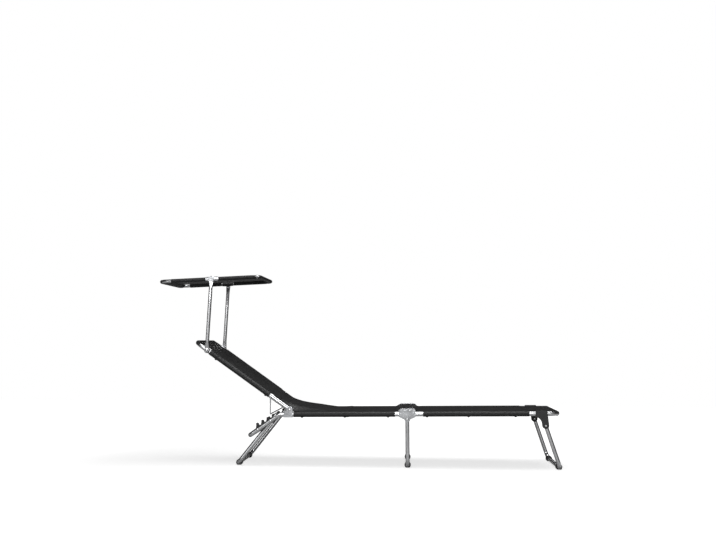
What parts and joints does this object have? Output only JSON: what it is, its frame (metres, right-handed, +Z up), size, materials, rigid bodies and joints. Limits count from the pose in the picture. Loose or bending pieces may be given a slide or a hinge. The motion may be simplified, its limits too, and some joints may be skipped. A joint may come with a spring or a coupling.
{
  "type": "sun lounger with canopy",
  "caption": "Folding three-leg lounger with a reclining back held by a wire prop on toothed combs, folding legs and a tilting fabric canopy on two swinging posts.",
  "frame": {"origin": "on the ground, under the middle of the lounger's length and width", "axes": "+X towards the foot end, +Y across the bed, +Z up"},
  "size_m": [2.0202, 0.6326, 0.9532],
  "materials": {
    "bright_aluminium": "bright drawn tube with fine lengthwise lines",
    "chromed_steel": "bright plated pressings",
    "plated_steel": "zinc plated rivets and wire",
    "black_plastic": "moulded black plastic, faint grain",
    "sling_fabric": "black coated mesh fabric with hemmed sleeves"
  },
  "bodies": {
    "seat_frame": {"seat_frame_tube": "bright_aluminium", "seat_sling": "sling_fabric", "back_hinge_bracket_near": "chromed_steel", "back_hinge_bracket_far": "chromed_steel", "back_hinge_rivet_near": "plated_steel", "back_hinge_rivet_far": "plated_steel", "fold_hinge_bracket_near": "chromed_steel", "fold_hinge_bracket_far": "chromed_steel", "fold_rivet_near": "plated_steel", "fold_rivet_far": "plated_steel", "middle_leg_rivet_near": "plated_steel", "middle_leg_rivet_far": "plated_steel", "recline_comb_near": "black_plastic", "recline_comb_far": "black_plastic", "comb_rivet_upper_near": "plated_steel", "comb_rivet_upper_far": "plated_steel", "comb_rivet_lower_near": "plated_steel", "comb_rivet_lower_far": "plated_steel", "rear_leg_rivet_near": "plated_steel", "rear_leg_rivet_far": "plated_steel"},
    "foot_frame": {"foot_frame_tube": "bright_aluminium", "foot_sling": "sling_fabric", "fold_ear_near": "plated_steel", "fold_ear_far": "plated_steel", "front_leg_bracket_near": "black_plastic", "front_leg_bracket_far": "black_plastic", "front_leg_rivet_near": "plated_steel", "front_leg_rivet_far": "plated_steel"},
    "back_frame": {"back_frame_tube": "bright_aluminium", "back_sling": "sling_fabric", "post_washer_near": "black_plastic", "post_washer_far": "black_plastic", "post_foot_knob_near": "black_plastic", "post_foot_knob_far": "black_plastic"},
    "prop": {"prop_bail": "plated_steel"},
    "canopy_arms": {"canopy_post_near": "plated_steel", "canopy_post_far": "bright_aluminium"},
    "canopy": {"canopy_bow_rear": "plated_steel", "canopy_bow_front": "bright_aluminium", "canopy_sling": "sling_fabric", "canopy_clamp_near": "chromed_steel", "canopy_clamp_far": "chromed_steel", "canopy_knob_near": "chromed_steel", "canopy_knob_far": "chromed_steel"},
    "rear_leg": {"rear_leg_bow": "plated_steel", "rear_leg_shoe_near": "black_plastic", "rear_leg_shoe_far": "black_plastic"},
    "middle_leg": {"middle_leg_bow": "bright_aluminium", "middle_leg_shoe_near": "black_plastic", "middle_leg_shoe_far": "black_plastic"},
    "front_leg": {"front_leg_bow": "bright_aluminium", "front_leg_shoe_near": "black_plastic", "front_leg_shoe_far": "black_plastic"}
  },
  "joints": [
    {"name": "back_recline", "type": "hinge", "parent": "seat_frame", "child": "back_frame", "pos_m": [-0.34101, 0, 0.28183], "axis": [0, 1, 0], "range_deg": [-35.8, 14.2]},
    {"name": "prop_swing", "type": "hinge", "parent": "back_frame", "child": "prop", "pos_m": [-0.43609, 0, 0.34829], "axis": [0, -1, 0], "range_deg": [-79, 31.5]},
    {"name": "canopy_arm_swing", "type": "hinge", "parent": "back_frame", "child": "canopy_arms", "pos_m": [-0.7574, 0, 0.57285], "axis": [0, 1, 0], "range_deg": [-95, 55]},
    {"name": "canopy_tilt", "type": "hinge", "parent": "canopy_arms", "child": "canopy", "pos_m": [-0.74027, 0, 0.92944], "axis": [0, 1, 0], "range_deg": [-80, 80]},
    {"name": "foot_fold", "type": "hinge", "parent": "seat_frame", "child": "foot_frame", "pos_m": [0.25704, 0, 0.28271], "axis": [0, -1, 0], "range_deg": [0, 160]},
    {"name": "rear_leg_fold", "type": "hinge", "parent": "seat_frame", "child": "rear_leg", "pos_m": [-0.41159, 0, 0.25278], "axis": [0, -1, 0], "range_deg": [0, 125]},
    {"name": "middle_leg_fold", "type": "hinge", "parent": "seat_frame", "child": "middle_leg", "pos_m": [0.24367, 0, 0.2405], "axis": [0, 1, 0], "range_deg": [0, 86]},
    {"name": "front_leg_fold", "type": "hinge", "parent": "foot_frame", "child": "front_leg", "pos_m": [0.92607, 0, 0.21862], "axis": [0, 1, 0], "range_deg": [0, 109]}
  ],
  "couplings": [
    {"joint": "prop_swing", "follows": "back_recline", "ratio": 2.2}
  ]
}
